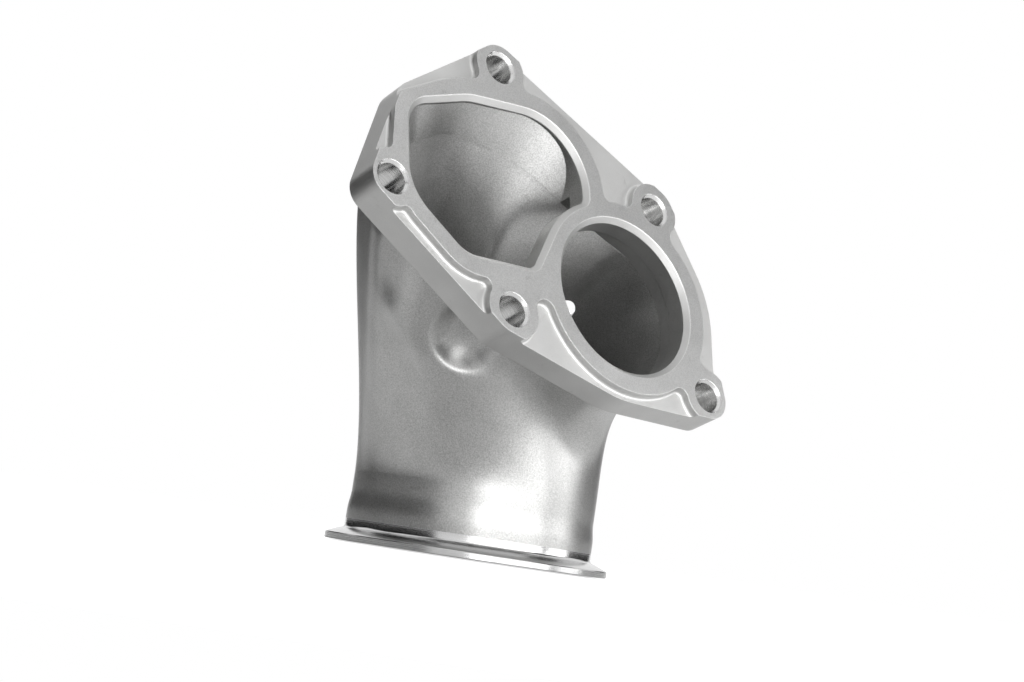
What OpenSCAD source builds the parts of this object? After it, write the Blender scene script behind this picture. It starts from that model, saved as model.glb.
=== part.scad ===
// Cast outlet elbow that carries exhaust gas from a five bolt turbine flange to a clamped round outlet.
// Millimetres, +Z up. The origin is the centre of the outlet's flat sealing face, the outlet axis is Z.
// The turbine flange faces -Y and leans back by flange_tilt, its round port sits over X = 0.

/* [Outlet] */
// Outer radius of the clamping rim
rim_r = 45; // [44:0.5:48]
// Height of the rim's straight edge
rim_edge_h = 2.2; // [1.6:0.2:3]
// Slope of the clamping face, degrees from the flat
rim_slope = 21; // [16:1:24]
// Outer radius of the neck
neck_r = 38.6; // [37.6:0.2:39.6]
// Wall of the neck and of the duct
wall = 3.2; // [2.6:0.2:3.8]
// How far the turned collar stands proud of the neck
collar_proud = 0.6; // [0.4:0.1:1]
// Height of the collar's upper edge above the sealing face
collar_top = 13; // [11:0.5:16]
// Height at which the straight neck ends
neck_top = 22; // [18:1:26]

/* [Turbine flange] */
// Height of the round port's centre above the sealing face
port_height = 84; // [80:1:92]
// Distance from the outlet axis to the round port's centre
port_reach = 59.6; // [57:0.6:66]
// Lean of the flange, degrees from upright
flange_tilt = 21.6; // [16:0.8:26]
// Thickness of the flange from the raised land to the rear face
flange_t = 12; // [11:0.5:14]
// Height of the raised sealing land
land_h = 2.4; // [1.6:0.2:3]
// Width of the sealing land round the large port
land_w = 5.5; // [4.5:0.5:6]
// Radius of the bored round port
port_r = 24.25; // [22.25:0.5:25.25]
// Chamfer round both ports
port_chamfer = 1.6; // [1:0.2:2]
// Depth of both ports before the passages join
web_depth = 7.5; // [6:0.5:9]
// Outer radius of the sealing land round the round port
port_land_r = 31.2; // [30.2:0.5:32.2]

/* [Bolt holes] */
// Radius of the bolt holes
hole_r = 4.5; // [3.5:0.25:4.75]
// Chamfer at the mouth of each bolt hole
hole_chamfer = 0.9; // [0.5:0.1:1]
// Radius of the land round each bolt hole
pad_r = 8.9; // [7.9:0.5:9.4]

/* [Duct] */
// Fillet where the duct leaves the flange
root_fillet = 2.5; // [2:0.5:4]
// Room kept clear round the axis of each nut
nut_room = 10.5; // [9:0.25:11]
// Depth of the nut pockets below the land
nut_reach = 25; // [22:1:30]
// Fullness of the bend at the flange end
bend_in = 0.48; // [0.4:0.01:0.54]
// How much tighter that end is on the large port's side
bend_tuck = 0.37; // [0.2:0.01:0.38]
// Fullness of the bend at the outlet end
bend_out = 0.46; // [0.38:0.01:0.5]
// Outward lean of the duct over the neck on the large port's side
neck_lean = 0.06; // [0:0.01:0.16]

/* [Sensor port] */
// Outer radius of the boss
boss_r = 7.5; // [6.5:0.5:8.5]
// Radius of the tapped hole at its thread tips
tap_r = 4.45; // [3.45:0.5:5.45]
// Length of the boss outside the duct
boss_out = 6.5; // [5:0.5:8]
// How deep the boss is sunk in the duct wall
boss_in = 4.5; // [3.5:0.5:5.5]

/* [Hidden] */
metal = [0.72, 0.71, 0.7];
cast_metal = [0.62, 0.61, 0.6];
bore_r = neck_r - wall;
ring_top = 7;
rim_blend = 1.4;
seat = 0.3;
arc_step = 6;
$fn = 96;

// Bolt centres on the flange face, measured from the round port: x to the right, y up the face.
bolts = [[-41, 66], [-84.3, 18.6], [16.1, 32.5], [-44.8, -13.5], [29, -26.9]];

// Outlines are loops of tangent arcs: x, y and radius of each, a negative radius turns the other way.
plate_loop = [
    [29, -26.9, 7.2],
    [45, -16.5, -9.8],
    [0, 0, 36.8],
    [16.1, 32.5, 8.3],
    [-41, 66, 7.6],
    [-70, 44, 9.8],
    [-84.3, 18.6, 6.8],
    [-44.8, -13.5, 7.4],
    [0, 0, 33.4]
];
large_port = [
    [-13.5, 31.5, 3.4],
    [-19.6, 43.4, 9.4],
    [-43, 34.7, 20],
    [-67.2, 38.4, 11],
    [-60.8, 24.6, 17.6],
    [-56, 11.2, 11.2],
    [-36.8, 5.3, 5]
];
web_r = 29.5;
port_mouth_r = port_r + port_chamfer;
duct_loop = [
    [0, 0, port_mouth_r],
    [-19.6, 43.4, 9.4],
    [-43, 34.7, 20],
    [-67.2, 38.4, 11],
    [-60.8, 24.6, 17.6],
    [-56, 11.2, 11.2]
];
duct_grow = wall - port_chamfer + 0.2;

// The land: arcs round both ports and every bolt, with a fillet in each corner between them.
function bolt_pad(k) = [bolts[k].x, bolts[k].y, pad_r];
function wider(c) = [c.x, c.y, c.z + land_w];
port_pad = [0, 0, port_land_r];
function corner(a, b, fillet) = let (
    gap = [b.x - a.x, b.y - a.y],
    d = norm(gap),
    ra = a.z + fillet,
    rb = b.z + fillet,
    along = (ra * ra - rb * rb + d * d) / (2 * d),
    off = sqrt(max(0, ra * ra - along * along)),
    spot = [a.x, a.y] + gap * along / d + [gap.y, -gap.x] * off / d
) [spot.x, spot.y, -fillet];
right_arc = wider(large_port[1]);
top_arc = wider(large_port[2]);
left_arc = wider(large_port[4]);
low_arc = wider(large_port[5]);
land_loop = [
    bolt_pad(4),
    corner(bolt_pad(4), port_pad, 3.4),
    port_pad,
    corner(port_pad, bolt_pad(2), 3.4),
    bolt_pad(2),
    corner(bolt_pad(2), port_pad, 3.4),
    port_pad,
    corner(port_pad, right_arc, 2),
    right_arc,
    corner(top_arc, bolt_pad(0), 2.4),
    bolt_pad(0),
    corner(bolt_pad(0), top_arc, 3.4),
    top_arc,
    [-72, 40, 9.9],
    corner(left_arc, bolt_pad(1), 2.6),
    bolt_pad(1),
    corner(bolt_pad(1), left_arc, 2),
    left_arc,
    low_arc,
    corner(low_arc, bolt_pad(3), 2.4),
    bolt_pad(3),
    corner(bolt_pad(3), port_pad, 3.4),
    port_pad,
    corner(port_pad, bolt_pad(4), 2.8)
];

function heading(a, b) = atan2(b.y - a.y, b.x - a.x)
    + asin(min(1, max(-1, (a.z - b.z) / norm([b.x - a.x, b.y - a.y]))));
function positive(angle) = let (a = ((angle % 360) + 360) % 360) a > 359.99 ? 0 : a;
function arcs(loop, grow) = let (n = len(loop), c = [for (q = loop) [q.x, q.y, q.z + grow]]) [
    for (i = [0 : n - 1])
        let (
            before = c[(i + n - 1) % n],
            here = c[i],
            after = c[(i + 1) % n],
            first = heading(before, here) - 90,
            last = heading(here, after) - 90,
            sweep = here.z > 0 ? positive(last - first) : -positive(first - last),
            steps = max(1, ceil(abs(sweep) / arc_step))
        )
        for (k = [0 : steps])
            let (a = first + sweep * k / steps)
            [here.x + here.z * cos(a), here.y + here.z * sin(a)]
];
function outline(loop, grow = 0) = let (p = arcs(loop, grow), n = len(p)) [
    for (i = [0 : n - 1])
        if (norm(p[i] - p[(i + n - 1) % n]) > 0.05) p[i]
];

// A closed loop of points spread evenly along an outline.
function spread(points, count) = let (
    n = len(points),
    run = [for (i = 0, d = 0; i <= n; d = d + norm(points[(i + 1) % n] - points[i % n]), i = i + 1) d],
    across = [for (i = [0 : n]) [run[i], points[i % n].x]],
    up = [for (i = [0 : n]) [run[i], points[i % n].y]]
) [for (k = [0 : count - 1]) let (s = run[n] * k / count) [lookup(s, across), lookup(s, up)]];

around = 72;
bend_steps = 20;
fillet_steps = 3;
start_ring = spread(outline(duct_loop, duct_grow), around);
ring_out = [
    for (j = [0 : around - 1])
        let (t = start_ring[(j + 1) % around] - start_ring[(j + around - 1) % around])
        [t.y, -t.x] / norm(t)
];
neck_angle = [for (q = start_ring) atan2((q.y - 15) / 44, (q.x + 27) / 56)];

// Flange face coordinates to part coordinates.
tilt_up = [0, sin(flange_tilt), cos(flange_tilt)];
tilt_out = [0, -cos(flange_tilt), sin(flange_tilt)];
port_centre = [0, -port_reach, port_height];
function place(q, depth) = port_centre + [q.x, 0, 0] + tilt_up * q.y - tilt_out * depth;
function bezier(a, b, c, d, t) = a * pow(1 - t, 3) + 3 * b * t * pow(1 - t, 2)
    + 3 * c * t * t * (1 - t) + d * pow(t, 3);

function skin_row(i) = [
    for (j = [0 : around - 1])
        let (
            q = start_ring[j],
            side = cos(neck_angle[j]),
            tuck = pow((1 - side) / 2, 1.5),
            straight = root_fillet * (1 - cos(90 * min(i, fillet_steps) / fillet_steps)),
            a = place(q, flange_t + root_fillet),
            d = [neck_r * side, neck_r * sin(neck_angle[j]), neck_top],
            run = norm(d - a),
            reach_in = run * (bend_in - bend_tuck * tuck),
            rise = run * run / (run + 12) * (bend_out - 0.16 * tuck) * [neck_lean * min(0, side), 0, 1],
            t = (i - fillet_steps) / bend_steps
        )
        i <= fillet_steps
            ? place(q, flange_t + straight)
            : t >= 1 ? d : bezier(a, a - tilt_out * reach_in, d + rise, d, t)
];
rows = fillet_steps + bend_steps;
skin = [for (i = [0 : rows]) skin_row(i)];
function unit(v) = v / norm(v);
function out_of(i, j) = let (
    along = skin[min(i + 1, rows)][j] - skin[max(i - 1, 0)][j],
    round = skin[i][(j + 1) % around] - skin[i][(j + around - 1) % around]
) i == rows ? [cos(neck_angle[j]), sin(neck_angle[j]), 0] : unit(cross(along, round));
function flare(i) = i >= fillet_steps ? 0 : root_fillet * (1 - sin(90 * i / fillet_steps));
outer_skin = [
    for (i = [0 : rows], j = [0 : around - 1])
        skin[i][j] + flare(i) * ([ring_out[j].x, 0, 0] + tilt_up * ring_out[j].y)
];
// The passage runs one millimetre past the duct at both ends.
function past(i) = i == 0 ? tilt_out : i == rows ? [0, 0, -1] : [0, 0, 0];
inner_skin = [
    for (i = [0 : rows], j = [0 : around - 1])
        skin[i][j] - wall * out_of(i, j) + past(i)
];

// The sides of a tube of rings, then its two ends.
tube_faces = concat(
    [
        for (i = [0 : rows - 1], j = [0 : around - 1])
            let (a = i * around + j, b = i * around + (j + 1) % around)
            each [[a, b, b + around], [a, b + around, a + around]]
    ],
    [[for (j = [around - 1 : -1 : 0]) j]],
    [[for (j = [0 : around - 1]) rows * around + j]]
);

// The sensor boss stands on the duct's rear right shoulder, in line with the round port.
boss_way = unit([0.72, 0.6, 0.34]);
boss_seat = 0.5 * skin[9][21] + 0.5 * skin[8][20];

module on_flange() {
    translate(port_centre)
        rotate([90 - flange_tilt, 0, 0])
            children();
}

module on_boss() {
    translate(boss_seat)
        rotate([0, acos(boss_way.z), atan2(boss_way.y, boss_way.x)])
            children();
}

module port_corners(grow, low, high, step) {
    for (q = large_port)
        translate([q.x, q.y, low])
            cylinder(h = high - low, r1 = q.z + grow, r2 = q.z + grow + step);
}

module large_port_cut() {
    difference() {
        union() {
            hull()
                port_corners(-port_chamfer, -web_depth - 1, -port_chamfer, 0);
            hull()
                port_corners(-port_chamfer, -port_chamfer, 1, port_chamfer + 1);
        }
        translate([0, 0, -web_depth - 2])
            cylinder(h = web_depth + 2 - port_chamfer, r = web_r + port_chamfer);
        translate([0, 0, -port_chamfer])
            cylinder(h = port_chamfer + 1, r1 = web_r + port_chamfer, r2 = web_r - 1);
    }
}

module round_port_cut() {
    translate([0, 0, -web_depth - 1])
        cylinder(h = web_depth + 2, r = port_r);
    translate([0, 0, -port_chamfer])
        cylinder(h = port_chamfer + 1, r1 = port_r, r2 = port_mouth_r + 1);
}

module bolt_hole() {
    translate([0, 0, -flange_t - 1])
        cylinder(h = flange_t + 2, r = hole_r);
    translate([0, 0, -hole_chamfer])
        cylinder(h = hole_chamfer + 1, r1 = hole_r, r2 = hole_r + hole_chamfer + 1);
}

module recesses() {
    translate([0, 0, -land_h])
        linear_extrude(height = land_h + 1)
            difference() {
                square(400, center = true);
                polygon(outline(land_loop));
            }
}

// Room for the nuts and a socket behind the flange.
module nut_pockets(grow) {
    on_flange()
        for (b = bolts)
            translate([b.x, b.y, -nut_reach]) {
                cylinder(h = nut_reach - flange_t + 2, r = nut_room + grow, $fn = 40);
                sphere(r = nut_room + grow, $fn = 40);
            }
}

module sensor_hole(r) {
    on_boss()
        translate([0, 0, -3 * wall])
            cylinder(h = 6 * wall, r = r, $fn = 48);
}

module turbine_flange() {
    color(metal)
        on_flange()
            difference() {
                translate([0, 0, -flange_t])
                    linear_extrude(height = flange_t)
                        polygon(outline(plate_loop));
                recesses();
                large_port_cut();
                round_port_cut();
                translate([0, 0, -flange_t - 1])
                    linear_extrude(height = flange_t + 1 - web_depth)
                        difference() {
                            polygon(outline(duct_loop, duct_grow - wall));
                            for (b = bolts)
                                translate(b)
                                    circle(r = hole_r + 3);
                        }
                for (b = bolts)
                    translate(b)
                        bolt_hole();
            }
}

module collector_duct() {
    color(cast_metal)
        resize([0, 0, 0])
            difference() {
                polyhedron(points = outer_skin, faces = tube_faces, convexity = 8);
                difference() {
                    polyhedron(points = inner_skin, faces = tube_faces, convexity = 8);
                    nut_pockets(wall);
                }
                nut_pockets(0);
                sensor_hole(boss_r - seat);
            }
}

module outlet_neck() {
    color(cast_metal)
        rotate_extrude()
            polygon([
                [bore_r, ring_top],
                [neck_r + collar_proud, ring_top],
                [neck_r + collar_proud, collar_top],
                [neck_r, collar_top + 2 * collar_proud],
                [neck_r, neck_top],
                [bore_r, neck_top]
            ]);
}

module clamp_ring() {
    root_r = neck_r + collar_proud;
    root_z = rim_edge_h + (rim_r - root_r) * tan(rim_slope);
    color(metal)
        rotate_extrude()
            difference() {
                polygon([
                    [bore_r, 0],
                    [rim_r, 0],
                    [rim_r, rim_edge_h],
                    [root_r + rim_blend, root_z - rim_blend * tan(rim_slope)],
                    [root_r, root_z + rim_blend],
                    [root_r, ring_top],
                    [bore_r, ring_top]
                ]);
            }
}

module sensor_boss() {
    color(metal)
        on_boss()
            difference() {
                translate([0, 0, -boss_in])
                    cylinder(h = boss_in + boss_out, r = boss_r);
                translate([0, 0, -boss_in - 1])
                    cylinder(h = boss_in + boss_out + 2, r = tap_r);
            }
}

turbine_flange();
collector_duct();
outlet_neck();
clamp_ring();
sensor_boss();
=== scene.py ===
import math
import bpy
import bmesh
import numpy as np
from mathutils import Matrix, Vector


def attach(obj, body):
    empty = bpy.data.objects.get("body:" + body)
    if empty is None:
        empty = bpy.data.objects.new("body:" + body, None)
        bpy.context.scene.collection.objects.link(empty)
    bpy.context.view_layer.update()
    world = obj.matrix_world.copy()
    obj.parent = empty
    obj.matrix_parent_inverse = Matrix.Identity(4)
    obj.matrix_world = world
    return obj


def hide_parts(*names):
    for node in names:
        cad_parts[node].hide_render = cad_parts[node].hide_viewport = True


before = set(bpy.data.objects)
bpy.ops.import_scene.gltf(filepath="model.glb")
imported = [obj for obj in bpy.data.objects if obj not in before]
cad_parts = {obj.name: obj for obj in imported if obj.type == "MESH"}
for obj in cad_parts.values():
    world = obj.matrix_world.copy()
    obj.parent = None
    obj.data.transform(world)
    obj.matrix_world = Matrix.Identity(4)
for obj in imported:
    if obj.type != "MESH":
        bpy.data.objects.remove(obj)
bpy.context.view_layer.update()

mm = 0.001

# where the turbine flange stands: its face leans back, its round port sits over X = 0
stand = {"portHeight": 84.0, "portReach": 59.6, "lean": 21.6}
lean = math.radians(stand["lean"])
faceRight = np.array([1.0, 0.0, 0.0])
faceUp = np.array([0.0, math.sin(lean), math.cos(lean)])
faceOut = np.array([0.0, -math.cos(lean), math.sin(lean)])
portCentre = np.array([0.0, -stand["portReach"], stand["portHeight"]])


def onFace(flat, depth):  # flange face points, x and y in mm, at a depth behind the land
    flat = np.atleast_2d(flat)
    depth = np.broadcast_to(np.asarray(depth, float), (len(flat),))
    return portCentre + flat[:, :1] * faceRight + flat[:, 1:2] * faceUp - depth[:, None] * faceOut


def unit(v):
    return v / np.linalg.norm(v, axis=-1, keepdims=True)


def eased(t):
    return t * t * (3 - 2 * t)


# outlines: loops of tangent arcs, x, y and radius each, a negative radius turns the other way
def heading(a, b):
    gap = math.hypot(b[0] - a[0], b[1] - a[1])
    return math.atan2(b[1] - a[1], b[0] - a[0]) + math.asin(max(-1, min(1, (a[2] - b[2]) / gap)))


def positive(angle):
    angle %= 2 * math.pi
    return 0 if angle > 2 * math.pi - 2e-4 else angle


def outline(loop, grow=0.0, step=3.0):
    ring = [(x, y, r + grow) for x, y, r in loop]
    points = []
    for i, here in enumerate(ring):
        before, after = ring[i - 1], ring[(i + 1) % len(ring)]
        first = heading(before, here) - math.pi / 2
        last = heading(here, after) - math.pi / 2
        sweep = positive(last - first) if here[2] > 0 else -positive(first - last)
        # the count must not depend on grow, so that grown loops stack
        count = max(1, math.ceil(round(math.degrees(abs(sweep)), 3) / step))
        for k in range(count + 1):
            a = first + sweep * k / count
            points.append((here[0] + here[2] * math.cos(a), here[1] + here[2] * math.sin(a)))
    return np.array(points)


def corner(a, b, fillet):  # the fillet circle between two pads, on the outer side
    gap = np.array([b[0] - a[0], b[1] - a[1]])
    d = np.linalg.norm(gap)
    ra, rb = a[2] + fillet, b[2] + fillet
    along = (ra * ra - rb * rb + d * d) / (2 * d)
    off = math.sqrt(max(0, ra * ra - along * along))
    spot = np.array(a[:2]) + gap * along / d + np.array([gap[1], -gap[0]]) * off / d
    return (spot[0], spot[1], -fillet)


def shifted(arc, x, y):
    return (arc[0] + x, arc[1] + y, arc[2])


# the turbine flange: x and y on its face, seen from the turbine, from the round port's centre
flange = {
    "thickness": 12.0, "rearRound": 0.9,
    "landHeight": 2.4, "landWidth": 5.5, "padRadius": 8.9, "ringRadius": 31.2, "footFillet": 1.1,
    "portRadius": 24.25, "portChamfer": 1.6, "webDepth": 7.5,
    "holeRadius": 4.5, "holeChamfer": 0.9,
    "domeDrop": 7.0, "domeInset": 5.0, "domeLip": 0.6, "domeSpread": 1.0,
}
bolts = [(-41.0, 66.0), (-84.3, 18.6), (16.1, 32.5), (-44.8, -13.5), (29.0, -26.9)]
plateLoop = [(29, -26.9, 7.2), (45, -16.5, -9.8), (0, 0, 36.8), (16.1, 32.5, 8.3), (-41, 66, 7.6),
             (-70, 44, 9.8), (-84.3, 18.6, 6.8), (-44.8, -13.5, 7.4), (0, 0, 33.4)]
largePort = [(-14.87, 30.57, 4.5), (-32.2, 33, 22), (-49, 29.9, 24), (-66.7, 37.7, 11),
             (-60.4, 24.6, 18.2), (-55.4, 12.2, 12.2), (-36.8, 5.3, 5), (0, 0, -29.5)]

duct = {
    "wall": 3.2, "rootFillet": 2.5, "sideInset": 4.5, "sideSlope": 0.28,
    "bendIn": 0.48, "bendTuck": 0.38, "bendOut": 0.46, "outTuck": 0.16, "shortRun": 12.0,
    "neckLean": 0.03, "frontRise": 0.2, "bowl": 0.5, "middle": (-27.0, 15.0), "halfSize": (56.0, 44.0),
    "nutRoom": 11.5, "nutReach": 23.0, "lowBolt": 3, "lowDrop": 3.4, "lowRoom": 0.8, "innerLess": 2.6,
    "evening": 4, "domeFrom": 3.0, "domeEase": 2.0, "seamLap": 0.6, "seamSpread": 0.04,
    "shade": 40.0,
    "around": 288, "filletRows": 8, "bendRows": 116,
}

# the duct starts outside both ports; the passage in it has drawn in under the dome
ductLoop = [(0, 0, flange["portRadius"] + flange["portChamfer"]), (-19.6, 43.4, 9.4), (-43, 34.7, 20),
            shifted((-67.2, 38.4, 11), duct["sideInset"], 0),
            shifted((-60.8, 24.6, 17.6), duct["sideInset"], 0), (-56, 11.2, 11.2)]
passageLoop = [ductLoop[0], shifted(largePort[1], -4, -10),
               shifted(largePort[2], 0, -flange["domeDrop"]),
               shifted(largePort[3], flange["domeInset"], -flange["domeDrop"]),
               shifted(largePort[4], flange["domeInset"], 0), largePort[5]]
ductGrow = duct["wall"] - flange["portChamfer"] + 0.2
passageGrow = ductGrow - duct["wall"]


def domeMouth(k):  # where each arc of the passage would come out at the flange face
    behind, port = passageLoop[k], largePort[k]
    if k in (0, 5):  # these two only have to stay clear of the port's shaft
        return (behind[0], behind[1], behind[2] + flange["landHeight"] - passageGrow)
    # the slope meets the port's edge a lip below its chamfer
    reach = 1 / (1 - (flange["portChamfer"] + flange["domeLip"]) / flange["thickness"])
    spreadX = flange["domeSpread"] if k == 1 else 0
    return (behind[0] + (port[0] - behind[0]) * reach + spreadX,
            behind[1] + (port[1] - behind[1]) * reach, behind[2])


mouthLoop = [domeMouth(k) for k in range(len(passageLoop))]


def landLoop():  # the raised land: a pad round each hole, a ring round each port, filleted together
    pads = [(x, y, flange["padRadius"]) for x, y in bolts]
    ring = (0, 0, flange["ringRadius"])
    right, top, left, low = [(x, y, r + flange["landWidth"])
                             for x, y, r in (largePort[i] for i in (1, 2, 4, 5))]
    return [pads[4], corner(pads[4], ring, 3.4), ring, corner(ring, pads[2], 3.4), pads[2],
            corner(pads[2], ring, 3.4), ring, corner(ring, right, 2), right,
            corner(right, pads[0], 2.4), pads[0], corner(pads[0], top, 3.4), top, (-72, 40, 9.9),
            corner(left, pads[1], 2.6), pads[1], corner(pads[1], left, 2), left, low,
            corner(low, pads[3], 2.4), pads[3], corner(pads[3], ring, 3.4), ring,
            corner(ring, pads[4], 2.8)]


# mesh helpers: all points come in millimetres of the part's own frame
def shade(piece, angle):
    piece.data.shade_smooth()
    piece.data.set_sharp_from_angle(angle=math.radians(angle))
    return piece


def meshObject(name, points, faces, shadeAngle=35):
    mesh = bpy.data.meshes.new(name)
    mesh.from_pydata([tuple(p) for p in np.asarray(points) * mm], [], [tuple(f) for f in faces])
    bm = bmesh.new()
    bm.from_mesh(mesh)
    bmesh.ops.remove_doubles(bm, verts=bm.verts, dist=2e-6)
    bmesh.ops.recalc_face_normals(bm, faces=bm.faces)
    bmesh.ops.triangulate(bm, faces=[f for f in bm.faces if len(f.verts) > 4])
    bm.to_mesh(mesh)
    bm.free()
    piece = bpy.data.objects.new(name, mesh)
    bpy.context.scene.collection.objects.link(piece)
    return shade(piece, shadeAngle)


def circle(x, y, r, count=96):
    a = np.arange(count) * 2 * math.pi / count
    return np.stack([x + r * np.cos(a), y + r * np.sin(a)], axis=1)


def tower(name, points, count):  # a closed solid from rings of so many points, lowest first
    levels = len(points) // count
    faces = [(a + j, a + (j + 1) % count, a + count + (j + 1) % count, a + count + j)
             for a in range(0, (levels - 1) * count, count) for j in range(count)]
    faces.append(tuple(range(count - 1, -1, -1)))
    faces.append(tuple(range((levels - 1) * count, levels * count)))
    return meshObject(name, points, faces)


def stack(name, levels):  # outlines at heights over the flange face
    return tower(name, np.vstack([onFace(flat, -height) for height, flat in levels]),
                 len(levels[0][1]))


def spread(points, count):  # the same outline again, in evenly spaced points
    closed = np.vstack([points, points[:1]])
    run = np.concatenate([[0], np.cumsum(np.linalg.norm(np.diff(closed, axis=0), axis=1))])
    at = run[-1] * np.arange(count) / count
    return np.stack([np.interp(at, run, closed[:, k]) for k in (0, 1)], axis=1)


def domeRings(count):  # the passage behind the plate, and where it would meet the face
    return (spread(outline(passageLoop, passageGrow, 1.5), count),
            spread(outline(mouthLoop, passageGrow, 1.5), count))


def combine(piece, tool, how="DIFFERENCE"):
    step = piece.modifiers.new("cut", "BOOLEAN")
    step.operation = how
    step.solver = "MANIFOLD"
    step.object = tool
    graph = bpy.context.evaluated_depsgraph_get()
    made = bpy.data.meshes.new_from_object(piece.evaluated_get(graph))
    piece.modifiers.clear()
    piece.data = made
    bpy.data.objects.remove(tool, do_unlink=True)
    return piece


def spun(name, profile, count=256, shadeAngle=25):  # a ring turned about the outlet axis
    profile = np.array(profile, float)
    a = np.arange(count) * 2 * math.pi / count
    points = np.stack([np.outer(np.cos(a), profile[:, 0]), np.outer(np.sin(a), profile[:, 0]),
                       np.broadcast_to(profile[:, 1], (count, len(profile)))], axis=2)
    n = len(profile)
    faces = [(i * n + k, ((i + 1) % count) * n + k, ((i + 1) % count) * n + (k + 1) % n,
              i * n + (k + 1) % n) for i in range(count) for k in range(n)]
    return meshObject(name, points.reshape(-1, 3), faces, shadeAngle)


def arcPoints(cx, cz, r, start, stop, steps):  # profile points on an arc, in degrees
    return [(cx + r * math.cos(math.radians(a)), cz + r * math.sin(math.radians(a)))
            for a in np.linspace(start, stop, steps + 1)]


# the flange: one plate, recesses round the land, both ports, five holes
past = 20.0              # cutters reach this far behind the face
over = 1.0               # and this far over it
recess = {"middle": (-20.0, 15.0), "radius": 150.0, "draft": 0.15}


def boreCutter(name, x, y, r, chamfer, count):
    return stack(name, [(-past, circle(x, y, r, count)), (-chamfer, circle(x, y, r, count)),
                        (over, circle(x, y, r + chamfer + over, count))])


def makeFlange():
    f = flange
    thick, rear, chamfer = f["thickness"], f["rearRound"], f["portChamfer"]
    quarter = math.pi / 2
    back = [(-thick + rear * (1 - math.cos(t)), outline(plateLoop, -rear * (1 - math.sin(t))))
            for t in np.linspace(0, quarter, 5)]
    piece = stack("turbineFlange", back + [(0.0, outline(plateLoop))])

    # the recesses are all that lies over the plate's floor and outside the land
    land, foot, height = landLoop(), f["footFillet"], f["landHeight"]
    curve = [(-height + foot * (1 - math.cos(t)), outline(land, foot * (1 - math.sin(t))))
             for t in np.linspace(0, quarter, 6)]
    keep = stack("landBlock", [(-height - over, outline(land, foot))] + curve
                 + [(1.5 * over, outline(land, -recess["draft"]))])
    wide = circle(*recess["middle"], recess["radius"])
    combine(piece, combine(stack("recessBlock", [(-height, wide), (over, wide)]), keep))

    # the large port: a straight shaft that the dome cuts short, under a chamfered mouth
    straight = outline(largePort, -chamfer)
    shaft = stack("largePortShaft", [(-past, straight), (-chamfer, straight)])
    behind, mouth = domeRings(duct["around"])
    combine(shaft, stack("domeRoom", [(-thick - over, behind), (-thick, behind), (0.0, mouth),
                                      (over, mouth)]), "INTERSECT")
    port = stack("largePortMouth", [(-chamfer - 0.01, straight), (-chamfer, straight),
                                    (over, outline(largePort, over))])
    combine(piece, combine(port, shaft, "UNION"))

    combine(piece, boreCutter("roundPortCutter", 0, 0, f["portRadius"], chamfer, 240))
    passage = outline(passageLoop, passageGrow)
    combine(piece, stack("passageCutter", [(-past, passage), (-f["webDepth"], passage)]))
    for x, y in bolts:
        combine(piece, boreCutter("holeCutter", x, y, f["holeRadius"], f["holeChamfer"], 72))
    shade(piece, 32)
    weighted = piece.modifiers.new("evenNormals", "WEIGHTED_NORMAL")
    weighted.keep_sharp = True
    weighted.weight = 100
    return piece


# the sensor boss on the duct's right side; its hole goes through the duct's wall
boss = {"radius": 7.5, "tap": 4.45, "out": 6.5, "sunk": 2.4, "edge": 0.5, "chamfer": 0.9,
        "fillet": 3.5, "filletLap": 0.6, "filletDeep": 8.0, "drill": (-16.0, 9.0),
        "seat": (18.2661, -9.2725, 86.3187), "way": (0.72, 0.6, 0.34)}


def bossPlace():
    turn = Vector(boss["way"]).normalized().to_track_quat("Z", "Y").to_matrix().to_4x4()
    return Matrix.Translation(Vector(boss["seat"]) * mm) @ turn


def makeBoss():
    r, tap, out, edge = boss["radius"], boss["tap"], boss["out"], boss["edge"]
    profile = [(tap, -boss["sunk"]), (r, -boss["sunk"]), (r, out - edge)]
    profile += arcPoints(r - edge, out - edge, edge, 15, 90, 5)
    profile += [(tap + boss["chamfer"], out), (tap, out - boss["chamfer"])]
    piece = spun("sensorBoss", profile, 96)
    piece.data.transform(bossPlace())
    return piece


# the duct: rows of one outline swept from the flange to the neck, pushed in where the nuts go
creep = {"tries": 60, "share": 0.7, "least": 0.01, "reach": 4.0}


def nutPush(points, inward, room, soft, ease):
    push = np.zeros(len(points))
    for index, (x, y) in enumerate(bolts):
        low = index == duct["lowBolt"]
        start = onFace((x, y - duct["lowDrop"] * low), 0.0)[0]
        extra = duct["lowRoom"] * low

        def toAxis(p):  # distance to the nut's axis, which ends at its reach
            away = p - start
            depth = np.minimum(-(away @ faceOut), duct["nutReach"])
            return np.linalg.norm(away + depth[:, None] * faceOut, axis=1)

        first = toAxis(points) - extra
        near = first < room + creep["reach"]
        shift = np.zeros(len(points))
        for _ in range(creep["tries"]):  # each point creeps inwards until it is clear
            short = room - toAxis(points + inward * shift[:, None]) + extra
            further = shift + creep["share"] * short + creep["least"]
            shift = np.where(near & (short > 0), further, shift)
        raw = np.where(first < room, shift, room - first)
        rounded = (raw + np.sqrt(raw * raw + soft * soft)) / 2
        push = np.maximum(push, rounded * eased(np.clip((room + 1 - first) / ease, 0, 1)))
    field = push.reshape(-1, duct["around"])
    for _ in range(duct["evening"]):
        rows = np.vstack([field[:1], field, field[-1:]])
        field = (rows[:-2] + 2 * field + rows[2:]) / 4
        field = (np.roll(field, 1, axis=1) + 2 * field + np.roll(field, -1, axis=1)) / 4
    return field.ravel()


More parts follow.
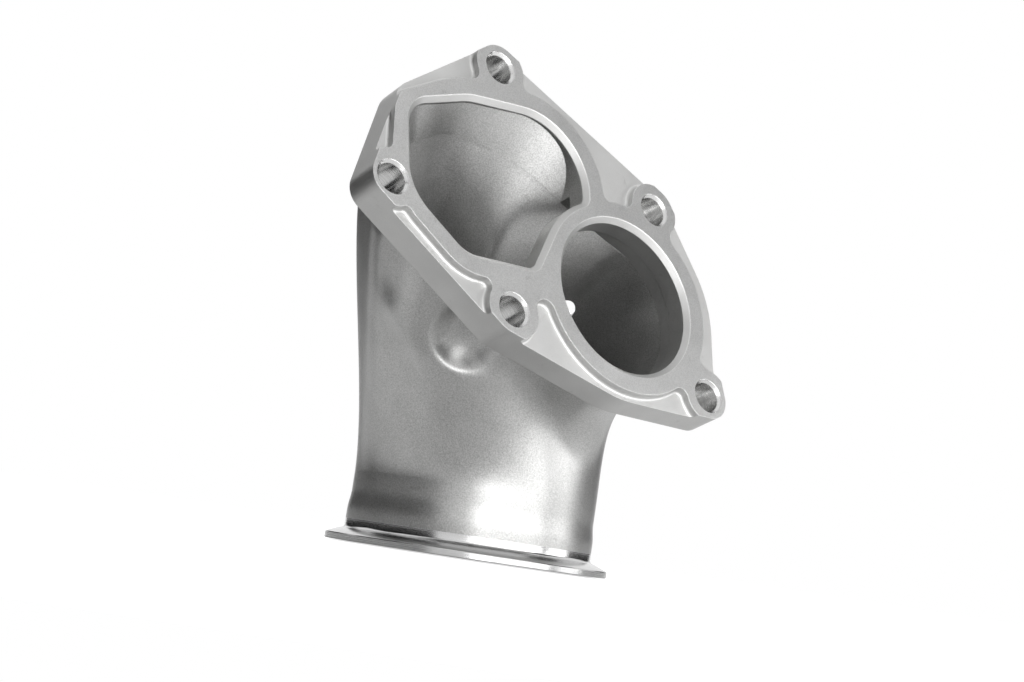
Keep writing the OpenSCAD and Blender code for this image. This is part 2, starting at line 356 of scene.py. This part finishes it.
# soft swells and hollows of the casting's skin: both ends of each, its reach and its height
swells = [
    ((-58.5, -29.5, 68.0), (-57.5, -29.5, 60.0), 7.0, 1.6),     # shoulder left of the low pocket
    ((-53.0, -22.0, 58.0), (-44.5, -18.5, 42.0), 7.0, -1.3),    # valley that runs down from it
    ((-48.5, -33.6, 68.5), (-47.0, -33.6, 66.5), 4.5, 1.0),     # ridge at the pocket's top
    ((-34.0, -37.0, 49.0), (-29.0, -40.5, 53.0), 5.0, 0.9),     # lip under the pocket
]


def relief(points):
    height = np.zeros(len(points))
    for first, last, reach, rise in swells:
        first, last = np.array(first), np.array(last)
        way = last - first
        along = np.clip((points - first) @ way / (way @ way), 0, 1)
        gap = np.linalg.norm(points - first - along[:, None] * way, axis=1)
        height += rise * np.exp(-(gap / reach) ** 2)
    return height


def skinRows(start, endRadius, leanIn, bowl):
    # rows of points from the plate's back to the neck, and how far each flares at the plate
    d = duct
    neckAngle = np.arctan2((start[:, 1] - d["middle"][1]) / d["halfSize"][1],
                           (start[:, 0] - d["middle"][0]) / d["halfSize"][0])
    side, front = np.cos(neckAngle), np.clip(-np.sin(neckAngle), 0, 1)
    tuck = ((1 - side) / 2) ** 1.5
    lead = leanIn @ np.array([faceRight, faceUp]) - faceOut
    a = onFace(start + leanIn * d["rootFillet"], flange["thickness"] + d["rootFillet"])
    e = np.stack([endRadius * side, endRadius * np.sin(neckAngle), np.full(len(side), neck["top"])],
                 axis=1)
    run = np.linalg.norm(e - a, axis=1)
    b = a + lead * (run * (d["bendIn"] - d["bendTuck"] * tuck))[:, None]
    rise = run * run / (run + d["shortRun"]) * (d["bendOut"] - d["outTuck"] * tuck)
    rise = rise * (1 - bowl * np.clip(np.linalg.norm(leanIn, axis=1), 0, 1))
    rise = rise * (1 + d["frontRise"] * front ** 2)
    c = e + rise[:, None] * np.stack([d["neckLean"] * np.minimum(0, side), 0 * side, 1 + 0 * side],
                                     axis=1)
    skin, flare = [], []
    for i in range(d["filletRows"] + 1):
        t = math.pi / 2 * i / d["filletRows"]
        deep = d["rootFillet"] * (1 - math.cos(t))
        skin.append(onFace(start + leanIn * deep, flange["thickness"] + deep))
        flare.append(d["rootFillet"] * (1 - math.sin(t)))
    for i in range(1, d["bendRows"] + 1):
        t = i / d["bendRows"]
        skin.append(a * (1 - t) ** 3 + 3 * b * t * (1 - t) ** 2 + 3 * c * t * t * (1 - t) + e * t ** 3)
        flare.append(0.0)
    return np.array(skin), np.array(flare)


def outwardNormals(skin):
    along = np.empty_like(skin)
    along[1:-1] = skin[2:] - skin[:-2]
    along[0] = skin[1] - skin[0]
    along[-1] = np.array([0, 0, -1.0])
    across = np.roll(skin, -1, axis=1) - np.roll(skin, 1, axis=1)
    return unit(np.cross(along, across)).reshape(-1, 3)


def outerSkin():
    d = duct
    start = spread(outline(ductLoop, ductGrow, 1.5), d["around"])
    tangent = unit(np.roll(start, -1, axis=0) - np.roll(start, 1, axis=0))
    ringOut = np.stack([tangent[:, 1], -tangent[:, 0]], axis=1)
    leftSide = np.maximum(0, -ringOut[:, 0])
    sideways = np.stack([-d["sideSlope"] * leftSide ** 2, 0 * leftSide], axis=1)
    rows, flare = skinRows(start, neck["radius"], sideways, 0.0)
    normal = outwardNormals(rows)
    flares = flare[:, None, None] * (ringOut @ np.array([faceRight, faceUp]))[None]
    push = nutPush(rows.reshape(-1, 3), -normal, d["nutRoom"], soft=1.2, ease=2.2)
    outer = rows.reshape(-1, 3) - normal * push[:, None] + flares.reshape(-1, 3)
    outer = outer + normal * relief(outer)[:, None]
    # a fillet rises to the boss
    way = unit(np.array(boss["way"]))
    away = outer - np.array(boss["seat"])
    height = away @ way
    gap = np.linalg.norm(away - height[:, None] * way, axis=1)
    lift = np.clip(boss["radius"] - boss["filletLap"] + boss["fillet"] - gap, 0, boss["fillet"])
    bump = boss["fillet"] - np.sqrt(np.maximum(0, boss["fillet"] ** 2 - lift ** 2))
    return outer + normal * np.where(height > -boss["filletDeep"], bump, 0)[:, None], ringOut


def innerSkin(ringOut):  # the dome's slope in the plate carries on inside
    d = duct
    behind, mouth = domeRings(d["around"])
    drawn = mouth - behind
    onDome = np.clip((np.linalg.norm(drawn, axis=1) - d["domeFrom"]) / d["domeEase"], 0, 1)
    slope = drawn / flange["thickness"] * onDome[:, None]
    rows = skinRows(behind, neck["radius"] - d["wall"], -slope, d["bowl"])[0]
    normal = outwardNormals(rows)
    push = nutPush(rows.reshape(-1, 3), -normal, d["nutRoom"] + d["wall"] - d["innerLess"],
                   soft=1.6, ease=4.0)
    inner = rows.reshape(-1, 3) - normal * push[:, None]
    # its first row reaches a little way into the plate, over the seam
    inner[:d["around"]] = onFace(behind + slope * d["seamLap"] - ringOut * d["seamSpread"],
                                 flange["thickness"] - d["seamLap"])
    return inner


def makeDuct():
    outer, ringOut = outerSkin()
    n, ends = duct["around"], len(outer)
    faces = []
    for p in range(ends - n):
        q = p + 1 if (p + 1) % n else p + 1 - n
        faces.append((p, q, q + n, p + n))
        faces.append((ends + p, ends + p + n, ends + q + n, ends + q))
    for j in range(n):
        k = (j + 1) % n
        faces.append((j, ends + j, ends + k, k))
        faces.append((ends - n + j, ends - n + k, 2 * ends - n + k, 2 * ends - n + j))
    piece = meshObject("collectorDuct", np.vstack([outer, innerSkin(ringOut)]), faces)
    hole = circle(0, 0, boss["tap"] + 0.05)
    drill = tower("drill", [(*p, z) for z in boss["drill"] for p in hole], len(hole))
    drill.data.transform(bossPlace())
    return shade(combine(piece, drill), duct["shade"])


neck = {"radius": 38.6, "top": 22.0, "collarProud": 0.6, "collarTop": 13.0, "collarEase": 6.0}


def makeNeck():  # its collar eases into the neck
    inner = neck["radius"] - duct["wall"]
    profile = [(inner, rim["top"])]
    for z in np.linspace(rim["top"], neck["top"], 13):
        t = eased(np.clip((z - neck["collarTop"]) / neck["collarEase"] + 0.5, 0, 1))
        profile.append((neck["radius"] + neck["collarProud"] * (1 - t), z))
    profile.append((inner, neck["top"]))
    return spun("outletNeck", profile, shadeAngle=40)


rim = {"radius": 45.0, "edge": 2.2, "slope": 21.0, "top": 7.0, "rootRound": 1.4, "broken": 0.35,
       "boreBroken": 0.4}


def makeRing():  # the clamping flange: a flat sealing face, broken edges, a sloped back
    inner, root = neck["radius"] - duct["wall"], neck["radius"] + neck["collarProud"]
    slope = math.tan(math.radians(rim["slope"]))
    out, edge, r = rim["radius"], rim["edge"], rim["rootRound"]
    broken, boreBroken = rim["broken"], rim["boreBroken"]
    rootZ = edge + (out - root) * slope
    profile = [(inner + boreBroken, 0.0), (out - broken, 0.0), (out, broken), (out, edge - 0.3),
               (out - 0.12, edge - 0.06), (out - 0.45, edge + 0.14),
               (root + r + 0.3, rootZ - (r + 0.3) * slope)]
    profile += arcPoints(root + r, rootZ + r * 0.62, r, 249, 185, 6)
    profile += [(root, rim["top"]), (inner, rim["top"]), (inner, boreBroken)]
    return spun("clampRing", profile, 384)


# shader maths: a socket that takes part in Python expressions
class Value:
    def __init__(self, graph, socket):
        self.graph = graph
        self.socket = socket

    def __add__(self, other):
        return self.graph.maths("ADD", self, other)

    __radd__ = __add__

    def __sub__(self, other):
        return self.graph.maths("SUBTRACT", self, other)

    def __rsub__(self, other):
        return self.graph.maths("SUBTRACT", other, self)

    def __mul__(self, other):
        return self.graph.maths("MULTIPLY", self, other)

    __rmul__ = __mul__


class Graph:
    def __init__(self, tree):
        self.tree = tree
        tree.nodes.clear()

    def add(self, kind, settings=None, inputs=None, output=0):
        node = self.tree.nodes.new(kind)
        for key, value in (settings or {}).items():
            setattr(node, key, value)
        for key, value in (inputs or {}).items():
            if isinstance(value, Value):
                self.tree.links.new(value.socket, node.inputs[key])
            else:
                node.inputs[key].default_value = value
        return Value(self, node.outputs[output]) if node.outputs else None

    def maths(self, how, a, b):
        return self.add("ShaderNodeMath", {"operation": how}, {0: a, 1: b})

    def noise(self, where, scale, detail=4.0, rough=0.5):
        return self.add("ShaderNodeTexNoise", {}, {"Vector": where, "Scale": scale, "Detail": detail,
                                                   "Roughness": rough})

    def lines(self, along, scale):  # noise that only changes one way
        return self.add("ShaderNodeTexNoise", {"noise_dimensions": "1D"},
                        {"W": along, "Scale": scale, "Detail": 2.0})

    def smooth(self, value, low, high):
        return self.add("ShaderNodeMapRange", {"interpolation_type": "SMOOTHSTEP"},
                        {"Value": value, "From Min": low, "From Max": high})

    def mix(self, amount, a, b):  # colours; 6 and 7 are the colour sockets
        a, b = [(*color, 1) if isinstance(color, tuple) else color for color in (a, b)]
        return self.add("ShaderNodeMix", {"data_type": "RGBA"}, {0: amount, 6: a, 7: b}, 2)

    def vector(self, how, a, b, output="Value"):
        return self.add("ShaderNodeVectorMath", {"operation": how}, {0: a, 1: b}, output)

    def circles(self, flat, loop):  # how far a face point lies outside the nearest of some circles
        nearest = None
        for x, y, r in loop:
            gap = self.vector("DISTANCE", flat, (x * mm, y * mm, 0.0)) - r * mm
            nearest = self.maths("MINIMUM", nearest, gap) if nearest else gap
        return nearest

    def steel(self, color, roughness, normal, metallic=1.0):
        shader = self.add("ShaderNodeBsdfPrincipled", {}, {
            "Base Color": color, "Roughness": roughness, "Metallic": metallic, "Normal": normal})
        self.add("ShaderNodeOutputMaterial", {}, {"Surface": shader})


def newMaterial(name):
    material = bpy.data.materials.new(name)
    material.use_nodes = True
    return material, Graph(material.node_tree)


castSkin = {"dark": (0.32, 0.32, 0.315), "light": (0.56, 0.56, 0.555), "roughness": 0.34,
            "metal": 0.86, "grain": 0.25, "pits": 0.35, "waves": 0.3}


def castLayer(g, where):  # colour, roughness and height of the cast skin
    broad = g.noise(where, 45.0, 3.0)
    grain = g.noise(where, 2600.0, 3.0, 0.6)
    pits = g.noise(where, 700.0, 2.0)
    tone = g.smooth(broad * 0.3 + grain * 0.7, 0.3, 0.7)
    color = g.mix(tone, castSkin["dark"], castSkin["light"])
    rough = castSkin["roughness"] + 0.08 * (broad - 0.5) + 0.16 * (grain - 0.5)
    height = (grain * castSkin["grain"] + pits * castSkin["pits"]
              + g.noise(where, 110.0, 2.0) * castSkin["waves"])
    return color, rough, height


def castMaterial():
    material, g = newMaterial("castSkin")
    where = g.add("ShaderNodeTexCoord", output="Object")
    color, rough, height = castLayer(g, where)
    normal = g.add("ShaderNodeBump", {}, {"Height": height, "Distance": 0.00012, "Strength": 0.55})
    g.steel(color, rough, normal, castSkin["metal"])
    return material


# side is a painted shade colour, for faces turned away from the flange face
machined = {"land": (0.7, 0.7, 0.695), "landDark": (0.6, 0.6, 0.595), "floor": (0.62, 0.62, 0.615),
            "pale": (0.8, 0.8, 0.79), "side": (0.48, 0.48, 0.475), "stain": (0.34, 0.34, 0.33),
            "boreDark": (0.45, 0.45, 0.45), "boreLight": (0.85, 0.85, 0.84),
            "roughness": 0.5, "landSmoother": 0.08, "boreSmoother": 0.26}


def flangeMaterial():
    material, g = newMaterial("flangeFinish")
    where = g.add("ShaderNodeTexCoord", output="Object")
    rel = g.vector("SUBTRACT", where, tuple(portCentre * mm), "Vector")
    height = g.vector("DOT_PRODUCT", rel, tuple(faceOut))
    flat = g.add("ShaderNodeCombineXYZ", {}, {0: g.vector("DOT_PRODUCT", rel, tuple(faceRight)),
                                              1: g.vector("DOT_PRODUCT", rel, tuple(faceUp))})
    facing = g.vector("DOT_PRODUCT", g.add("ShaderNodeNewGeometry", output="Normal"), tuple(faceOut))
    grain = g.noise(where, 2600.0, 3.0, 0.6)
    broad = g.noise(where, 60.0, 3.0)

    # milled land, paler recess floors, sides painted darker as shade where they turn away from the face,
    # a few dull stains
    onLand = g.smooth(height, -0.00022, -0.00008)
    # painted shade: faces turned away from the flange face take the darker side colour
    shadeByFacing = g.mix(g.smooth(facing, 0.75, 0.97), machined["side"], machined["floor"])
    tone = g.smooth(broad * 0.6 + grain * 0.4, 0.3, 0.7)
    floor = g.mix(tone * 0.5, shadeByFacing, g.mix(0.5, shadeByFacing, machined["pale"]))
    land = g.mix(g.smooth(grain, 0.35, 0.65), machined["landDark"], machined["land"])
    stain = (g.smooth(g.noise(where, 150.0, 5.0, 0.62), 0.6, 0.78)
             * g.smooth(g.noise(where, 900.0, 3.0, 0.6), 0.4, 0.6))
    color = g.mix(stain * 0.55, g.mix(onLand, floor, land), machined["stain"])
    rough = (machined["roughness"] + 0.2 * (grain - 0.5) - machined["landSmoother"] * onLand
             + 0.08 * (broad - 0.5))
    bumps = grain * 0.6 + g.noise(where, 900.0, 3.0) * 0.5

    # the drilled holes: bright, smoother, with fine tool rings down the bore
    reach = flange["holeRadius"] + flange["holeChamfer"]
    drilled = 1 - g.smooth(g.circles(flat, [(x, y, reach) for x, y in bolts]), 0.0, 0.00012)
    rings = g.lines(height, 2600.0)
    color = g.mix(drilled, color, g.mix(rings, machined["boreDark"], machined["boreLight"]))
    rough = rough - drilled * machined["boreSmoother"]
    bumps = bumps * (1 - drilled) + drilled * rings * 0.5

    # inside the large port the plate keeps the cast skin
    inPort = 1 - g.smooth(g.circles(flat, largePort[1:6]), 0.0004, 0.0009)
    inPort = inPort * g.smooth(height * -1.0, 0.0018, 0.0024)
    castColor, castRough, castHeight = castLayer(g, where)
    color = g.mix(inPort, color, castColor)
    rough = rough * (1 - inPort) + castRough * inPort
    bumps = bumps * (1 - inPort) + castHeight * 1.3 * inPort

    edge = g.add("ShaderNodeBevel", {"samples": 4}, {"Radius": 0.00035})
    normal = g.add("ShaderNodeBump", {}, {"Height": bumps * (1 - 0.6 * onLand), "Distance": 0.00012,
                                          "Strength": 0.5, "Normal": edge})
    g.steel(color, rough, normal)
    return material


turned = {"dark": (0.56, 0.56, 0.56), "light": (0.66, 0.66, 0.66), "roughness": 0.2}


def turnedMaterial():
    material, g = newMaterial("turnedSteel")
    where = g.add("ShaderNodeTexCoord", output="Object")
    cuts = g.lines(g.add("ShaderNodeSeparateXYZ", {}, {0: where}, "Z"), 5200.0)
    rough = turned["roughness"] + 0.08 * (cuts - 0.5) + 0.05 * (g.noise(where, 1800.0, 2.0) - 0.5)
    normal = g.add("ShaderNodeBump", {}, {"Height": cuts, "Distance": 0.00003, "Strength": 0.35})
    g.steel(g.mix(cuts, turned["dark"], turned["light"]), rough, normal)
    return material


def dress(piece, node, material):
    piece.data.materials.clear()
    piece.data.materials.append(material)
    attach(piece, "root")
    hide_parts(node)
    print("made", piece.name, len(piece.data.vertices), "points")


cast = castMaterial()
dress(makeFlange(), "turbine_flange", flangeMaterial())
dress(makeDuct(), "collector_duct", cast)
dress(makeNeck(), "outlet_neck", cast)
dress(makeRing(), "clamp_ring", turnedMaterial())
dress(makeBoss(), "sensor_boss", cast)


# the studio: where the camera stands, degrees of turn, tilt and roll, and what stands round the part
photo = {"place": (-0.3928468, -0.517872, 0.0057029), "turn": 37.578, "tilt": 5.68024, "roll": 8.55507,
         "lens": 71.8133, "sensor": 36.0}
studio = {"middle": (-0.02, -0.02, 0.075), "floorHalf": 4.0, "floorDrop": 0.0004, "floorGlow": 0.72,
          "floorWhite": (0.9, 0.9, 0.9, 1), "fill": 0.55, "fillColor": (0.8, 0.8, 0.8, 1),
          "cardReach": 1.4, "cardColor": (0.03, 0.03, 0.03, 1), "cardSteps": 24}
white = (1, 1, 1, 1)
scene = bpy.context.scene
middle = Vector(studio["middle"])


def floorMaterial():
    material, g = newMaterial("whiteFloor")
    paint = g.add("ShaderNodeBsdfDiffuse", {}, {"Color": studio["floorWhite"]})
    glow = g.add("ShaderNodeEmission", {}, {"Color": white, "Strength": studio["floorGlow"]})
    both = g.add("ShaderNodeAddShader", {}, {0: paint, 1: glow})
    seen = g.add("ShaderNodeLightPath", output="Is Camera Ray")
    g.add("ShaderNodeOutputMaterial", {}, {
        "Surface": g.add("ShaderNodeMixShader", {}, {0: seen, 1: paint, 2: both})})
    return material


def velvetMaterial():
    material, g = newMaterial("darkCard")
    g.add("ShaderNodeOutputMaterial", {}, {
        "Surface": g.add("ShaderNodeBsdfDiffuse", {}, {"Color": studio["cardColor"]})})
    return material


def stageBoard(name, points, faces, material):
    mesh = bpy.data.meshes.new(name)
    mesh.from_pydata(points, [], faces)
    mesh.materials.append(material)
    board = bpy.data.objects.new(name, mesh)
    scene.collection.objects.link(board)
    return board


half, drop = studio["floorHalf"], -studio["floorDrop"]
stageBoard("floor", [(-half, -half, drop), (half, -half, drop), (half, half, drop), (-half, half, drop)],
           [(0, 1, 2, 3)], floorMaterial())


# the world: white where the camera or the metal looks, softer as light
def makeWorld():
    world = bpy.data.worlds.new("studio")
    world.use_nodes = True
    g = Graph(world.node_tree)
    seen = None
    for ray in ("Is Camera Ray", "Is Glossy Ray", "Is Transmission Ray"):
        path = g.add("ShaderNodeLightPath", output=ray)
        seen = g.maths("MAXIMUM", seen, path) if seen else path
    fill = g.add("ShaderNodeBackground", {}, {"Color": studio["fillColor"], "Strength": studio["fill"]})
    sky = g.add("ShaderNodeBackground", {}, {"Color": white, "Strength": 1.0})
    g.add("ShaderNodeOutputWorld", {}, {
        "Surface": g.add("ShaderNodeMixShader", {}, {0: seen, 1: fill, 2: sky})})
    return world


scene.world = makeWorld()


# turn is in degrees from the way to the camera towards the right, rise in degrees upwards
def around(turn, rise, distance):
    a = math.radians(180 - turn) + math.radians(photo["turn"])
    b = math.radians(rise)
    flatWay = Vector((math.sin(a), math.cos(a), 0.0))
    return middle + (flatWay * math.cos(b) + Vector((0, 0, 1)) * math.sin(b)) * distance


def softBox(name, spot, width, height, power):
    data = bpy.data.lights.new(name, "AREA")
    data.shape = "RECTANGLE"
    data.size, data.size_y = width, height
    data.energy = power
    lamp = bpy.data.objects.new(name, data)
    lamp.location = spot
    lamp.rotation_mode = "QUATERNION"
    lamp.rotation_quaternion = (middle - spot).to_track_quat("-Z", "Y")
    scene.collection.objects.link(lamp)


# turn, rise and distance of each lamp, then its width, height and power
lamps = {"sideBox": ((38, 6, 0.6), 0.8, 0.34, 3.3), "edgeBox": ((92, 8, 0.9), 0.4, 0.45, 1.6),
         "backBox": ((180, 45, 0.9), 0.45, 0.45, 3.6)}
for name, (place, width, height, power) in lamps.items():
    softBox(name, around(*place), width, height, power)


def metalOnly(name, pairs, material):  # a strip of board that only the metal reflects
    points = [tuple(p) for pair in pairs for p in pair]
    faces = [(k, k + 2, k + 3, k + 1) for k in range(0, len(points) - 2, 2)]
    card = stageBoard(name, points, faces, material)
    card.visible_camera = False
    card.visible_shadow = False
    card.visible_diffuse = False


def standingCard(name, turns, top, material):  # curved round the part, up to so many degrees
    reach = studio["cardReach"]
    up = middle.z + reach * math.tan(math.radians(top))
    spots = [around(turn, 0, reach) for turn in np.linspace(*turns, studio["cardSteps"] + 1)]
    metalOnly(name, [((p.x, p.y, 0.0), (p.x, p.y, up)) for p in spots], material)


def floorCard(name, turns, near, far, material):
    spots = [(around(turn, 0, near), around(turn, 0, far))
             for turn in np.linspace(*turns, studio["cardSteps"] + 1)]
    metalOnly(name, [((p.x, p.y, 0.001), (q.x, q.y, 0.001)) for p, q in spots], material)


# the turns that each card spans, and how high it stands or how far out it lies
cards = {"rightCard": ((22, 158), 15), "highCard": ((70, 110), 50),
         "leftCard": ((-112, -30), 48), "farCard": ((-158, -112), 22)}
velvet = velvetMaterial()
for name, (turns, top) in cards.items():
    standingCard(name, turns, top, velvet)
floorCard("leftFloorCard", (-125, -50), 0.22, 0.9, velvet)
print("studio is set:", len(lamps), "lamps,", len(cards) + 1, "cards")

data = bpy.data.cameras.new("photoCamera")
data.sensor_width = photo["sensor"]
data.lens = photo["lens"]
camera = bpy.data.objects.new("photoCamera", data)
turn, tilt, roll = [math.radians(photo[way]) for way in ("turn", "tilt", "roll")]
camera.matrix_world = (Matrix.Translation(photo["place"]) @ Matrix.Rotation(-turn, 4, "Z")
                       @ Matrix.Rotation(math.pi / 2 + tilt, 4, "X") @ Matrix.Rotation(roll, 4, "Z"))
scene.collection.objects.link(camera)
scene.camera = camera
scene.view_settings.view_transform = "Standard"
print("camera is set")
